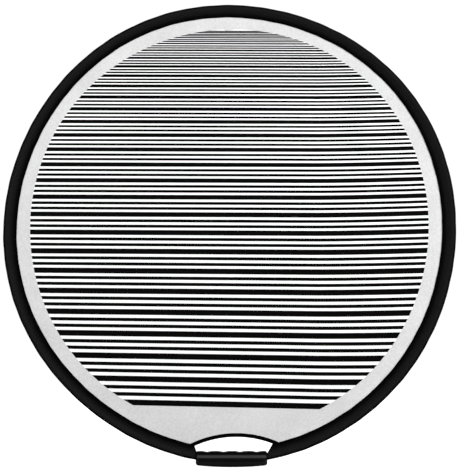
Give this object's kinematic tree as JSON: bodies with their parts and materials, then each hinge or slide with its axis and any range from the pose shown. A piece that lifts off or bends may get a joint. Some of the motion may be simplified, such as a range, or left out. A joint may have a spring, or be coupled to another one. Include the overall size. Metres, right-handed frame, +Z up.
{
  "type": "collapsible backdrop panel",
  "caption": "Round collapsible cloth panel with printed lines, kept taut by a sprung steel hoop in a folded tape edge, with a moulded hand grip.",
  "frame": {"origin": "lowest point of the grip, on the panel's middle plane, straight below the centre of the hoop", "axes": "+Z up along the panel, away from the grip; -Y out of the printed face; +X to the right seen from the printed side"},
  "size_m": [0.6, 0.02, 0.6123],
  "materials": {
    "spring_steel": "cold-rolled strip",
    "ferrule_steel": "pressed, plated",
    "black_tape": "woven nylon tape, folded and stitched",
    "printed_cloth": "white woven polyester with printed black lines",
    "lining_cloth": "plain white woven polyester",
    "grip_plastic": "fine-textured black moulding",
    "screw_steel": "blackened"
  },
  "bodies": {
    "grip": {"grip_shell_front": "grip_plastic", "grip_shell_back": "grip_plastic", "screw_left": "screw_steel", "screw_right": "screw_steel", "steel_ferrule": "ferrule_steel", "steel_grip_left": "spring_steel", "steel_grip_right": "spring_steel", "tape_grip_left": "black_tape", "tape_grip_right": "black_tape", "opening_trim": "black_tape", "cloth_front": "printed_cloth", "cloth_back": "lining_cloth"},
    "link_right_01": {"steel_right_01": "spring_steel", "tape_right_01": "black_tape"},
    "link_right_02": {"steel_right_02": "spring_steel", "tape_right_02": "black_tape"},
    "link_right_03": {"steel_right_03": "spring_steel", "tape_right_03": "black_tape"},
    "link_right_04": {"steel_right_04": "spring_steel", "tape_right_04": "black_tape"},
    "link_right_05": {"steel_right_05": "spring_steel", "tape_right_05": "black_tape"},
    "link_right_06": {"steel_right_06": "spring_steel", "tape_right_06": "black_tape"},
    "link_right_07": {"steel_right_07": "spring_steel", "tape_right_07": "black_tape"},
    "link_right_08": {"steel_right_08": "spring_steel", "tape_right_08": "black_tape"},
    "link_right_09": {"steel_right_09": "spring_steel", "tape_right_09": "black_tape"},
    "link_right_10": {"steel_right_10": "spring_steel", "tape_right_10": "black_tape"},
    "link_left_01": {"steel_left_01": "spring_steel", "tape_left_01": "black_tape"},
    "link_left_02": {"steel_left_02": "spring_steel", "tape_left_02": "black_tape"},
    "link_left_03": {"steel_left_03": "spring_steel", "tape_left_03": "black_tape"},
    "link_left_04": {"steel_left_04": "spring_steel", "tape_left_04": "black_tape"},
    "link_left_05": {"steel_left_05": "spring_steel", "tape_left_05": "black_tape"},
    "link_left_06": {"steel_left_06": "spring_steel", "tape_left_06": "black_tape"},
    "link_left_07": {"steel_left_07": "spring_steel", "tape_left_07": "black_tape"},
    "link_left_08": {"steel_left_08": "spring_steel", "tape_left_08": "black_tape"},
    "link_left_09": {"steel_left_09": "spring_steel", "tape_left_09": "black_tape"},
    "link_left_10": {"steel_left_10": "spring_steel", "tape_left_10": "black_tape"}
  },
  "joints": [
    {"name": "fold_right_01", "type": "hinge", "parent": "grip", "child": "link_right_01", "pos_m": [0.05992, 0, 0.03041], "axis": [-0.0377, -0.9993, -0.0087], "range_deg": [0, 41.01], "stiffness_Nm_per_rad": 0.85, "springref_deg": -0.57, "deforming": ["cloth_front", "cloth_back"]},
    {"name": "fold_right_02", "type": "hinge", "parent": "link_right_01", "child": "link_right_02", "pos_m": [0.13748, 0, 0.06223], "axis": [-0.0314, -0.9993, -0.0185], "range_deg": [0, 34.48], "stiffness_Nm_per_rad": 0.85, "springref_deg": -0.57},
    {"name": "fold_right_03", "type": "hinge", "parent": "link_right_02", "child": "link_right_03", "pos_m": [0.20256, 0, 0.11393], "axis": [-0.025, -0.9993, -0.0263], "range_deg": [0, 34.39], "stiffness_Nm_per_rad": 0.85, "springref_deg": -0.57},
    {"name": "fold_right_04", "type": "hinge", "parent": "link_right_03", "child": "link_right_04", "pos_m": [0.25078, 0, 0.1812], "axis": [-0.017, -0.9993, -0.0328], "range_deg": [0, 33.66], "stiffness_Nm_per_rad": 0.85, "springref_deg": -0.57},
    {"name": "fold_right_05", "type": "hinge", "parent": "link_right_04", "child": "link_right_05", "pos_m": [0.2779, 0, 0.25929], "axis": [-0.007, -0.9993, -0.0366], "range_deg": [0, 33.36], "stiffness_Nm_per_rad": 0.85, "springref_deg": -0.57},
    {"name": "fold_right_06", "type": "hinge", "parent": "link_right_05", "child": "link_right_06", "pos_m": [0.28135, 0, 0.34187], "axis": [0.0039, -0.9993, -0.0371], "range_deg": [0, 33.31], "stiffness_Nm_per_rad": 0.85, "springref_deg": -0.57},
    {"name": "fold_right_07", "type": "hinge", "parent": "link_right_06", "child": "link_right_07", "pos_m": [0.26079, 0, 0.42193], "axis": [0.0145, -0.9993, -0.0344], "range_deg": [0, 33.31], "stiffness_Nm_per_rad": 0.85, "springref_deg": -0.57},
    {"name": "fold_right_08", "type": "hinge", "parent": "link_right_07", "child": "link_right_08", "pos_m": [0.21798, 0, 0.49263], "axis": [0.0238, -0.9993, -0.0287], "range_deg": [0, 33.31], "stiffness_Nm_per_rad": 0.85, "springref_deg": -0.57},
    {"name": "fold_right_09", "type": "hinge", "parent": "link_right_08", "child": "link_right_09", "pos_m": [0.15655, 0, 0.54793], "axis": [0.0311, -0.9993, -0.0206], "range_deg": [0, 33.31], "stiffness_Nm_per_rad": 0.85, "springref_deg": -0.57},
    {"name": "fold_right_10", "type": "hinge", "parent": "link_right_09", "child": "link_right_10", "pos_m": [0.08177, 0, 0.58313], "axis": [0.0357, -0.9993, -0.0108], "range_deg": [0, 33.31], "stiffness_Nm_per_rad": 0.85, "springref_deg": -0.57},
    {"name": "fold_left_01", "type": "hinge", "parent": "grip", "child": "link_left_01", "pos_m": [-0.05992, 0, 0.03041], "axis": [0.0377, 0.9993, -0.0087], "range_deg": [0, 41.01], "stiffness_Nm_per_rad": 0.85, "springref_deg": -0.57},
    {"name": "fold_left_02", "type": "hinge", "parent": "link_left_01", "child": "link_left_02", "pos_m": [-0.13748, 0, 0.06223], "axis": [0.0314, 0.9993, -0.0185], "range_deg": [0, 34.48], "stiffness_Nm_per_rad": 0.85, "springref_deg": -0.57},
    {"name": "fold_left_03", "type": "hinge", "parent": "link_left_02", "child": "link_left_03", "pos_m": [-0.20256, 0, 0.11393], "axis": [0.025, 0.9993, -0.0263], "range_deg": [0, 34.39], "stiffness_Nm_per_rad": 0.85, "springref_deg": -0.57},
    {"name": "fold_left_04", "type": "hinge", "parent": "link_left_03", "child": "link_left_04", "pos_m": [-0.25078, 0, 0.1812], "axis": [0.017, 0.9993, -0.0328], "range_deg": [0, 33.66], "stiffness_Nm_per_rad": 0.85, "springref_deg": -0.57},
    {"name": "fold_left_05", "type": "hinge", "parent": "link_left_04", "child": "link_left_05", "pos_m": [-0.2779, 0, 0.25929], "axis": [0.007, 0.9993, -0.0366], "range_deg": [0, 33.36], "stiffness_Nm_per_rad": 0.85, "springref_deg": -0.57},
    {"name": "fold_left_06", "type": "hinge", "parent": "link_left_05", "child": "link_left_06", "pos_m": [-0.28135, 0, 0.34187], "axis": [-0.0039, 0.9993, -0.0371], "range_deg": [0, 33.31], "stiffness_Nm_per_rad": 0.85, "springref_deg": -0.57},
    {"name": "fold_left_07", "type": "hinge", "parent": "link_left_06", "child": "link_left_07", "pos_m": [-0.26079, 0, 0.42193], "axis": [-0.0145, 0.9993, -0.0344], "range_deg": [0, 33.31], "stiffness_Nm_per_rad": 0.85, "springref_deg": -0.57},
    {"name": "fold_left_08", "type": "hinge", "parent": "link_left_07", "child": "link_left_08", "pos_m": [-0.21798, 0, 0.49263], "axis": [-0.0238, 0.9993, -0.0287], "range_deg": [0, 33.31], "stiffness_Nm_per_rad": 0.85, "springref_deg": -0.57},
    {"name": "fold_left_09", "type": "hinge", "parent": "link_left_08", "child": "link_left_09", "pos_m": [-0.15655, 0, 0.54793], "axis": [-0.0311, 0.9993, -0.0206], "range_deg": [0, 33.31], "stiffness_Nm_per_rad": 0.85, "springref_deg": -0.57},
    {"name": "fold_left_10", "type": "hinge", "parent": "link_left_09", "child": "link_left_10", "pos_m": [-0.08177, 0, 0.58313], "axis": [-0.0357, 0.9993, -0.0108], "range_deg": [0, 33.31], "stiffness_Nm_per_rad": 0.85, "springref_deg": -0.57}
  ],
  "couplings": [
    {"joint": "fold_right_02", "follows": "fold_right_01", "ratio": 0.84093},
    {"joint": "fold_right_03", "follows": "fold_right_01", "ratio": 0.83866},
    {"joint": "fold_right_04", "follows": "fold_right_01", "ratio": 0.82078},
    {"joint": "fold_right_05", "follows": "fold_right_01", "ratio": 0.81351},
    {"joint": "fold_right_06", "follows": "fold_right_01", "ratio": 0.81234},
    {"joint": "fold_right_07", "follows": "fold_right_01", "ratio": 0.81225},
    {"joint": "fold_right_08", "follows": "fold_right_01", "ratio": 0.81225},
    {"joint": "fold_right_09", "follows": "fold_right_01", "ratio": 0.81225},
    {"joint": "fold_right_10", "follows": "fold_right_01", "ratio": 0.81225},
    {"joint": "fold_left_01", "follows": "fold_right_01", "ratio": 1},
    {"joint": "fold_left_02", "follows": "fold_right_01", "ratio": 0.84093},
    {"joint": "fold_left_03", "follows": "fold_right_01", "ratio": 0.83866},
    {"joint": "fold_left_04", "follows": "fold_right_01", "ratio": 0.82078},
    {"joint": "fold_left_05", "follows": "fold_right_01", "ratio": 0.81351},
    {"joint": "fold_left_06", "follows": "fold_right_01", "ratio": 0.81234},
    {"joint": "fold_left_07", "follows": "fold_right_01", "ratio": 0.81225},
    {"joint": "fold_left_08", "follows": "fold_right_01", "ratio": 0.81225},
    {"joint": "fold_left_09", "follows": "fold_right_01", "ratio": 0.81225},
    {"joint": "fold_left_10", "follows": "fold_right_01", "ratio": 0.81225}
  ]
}
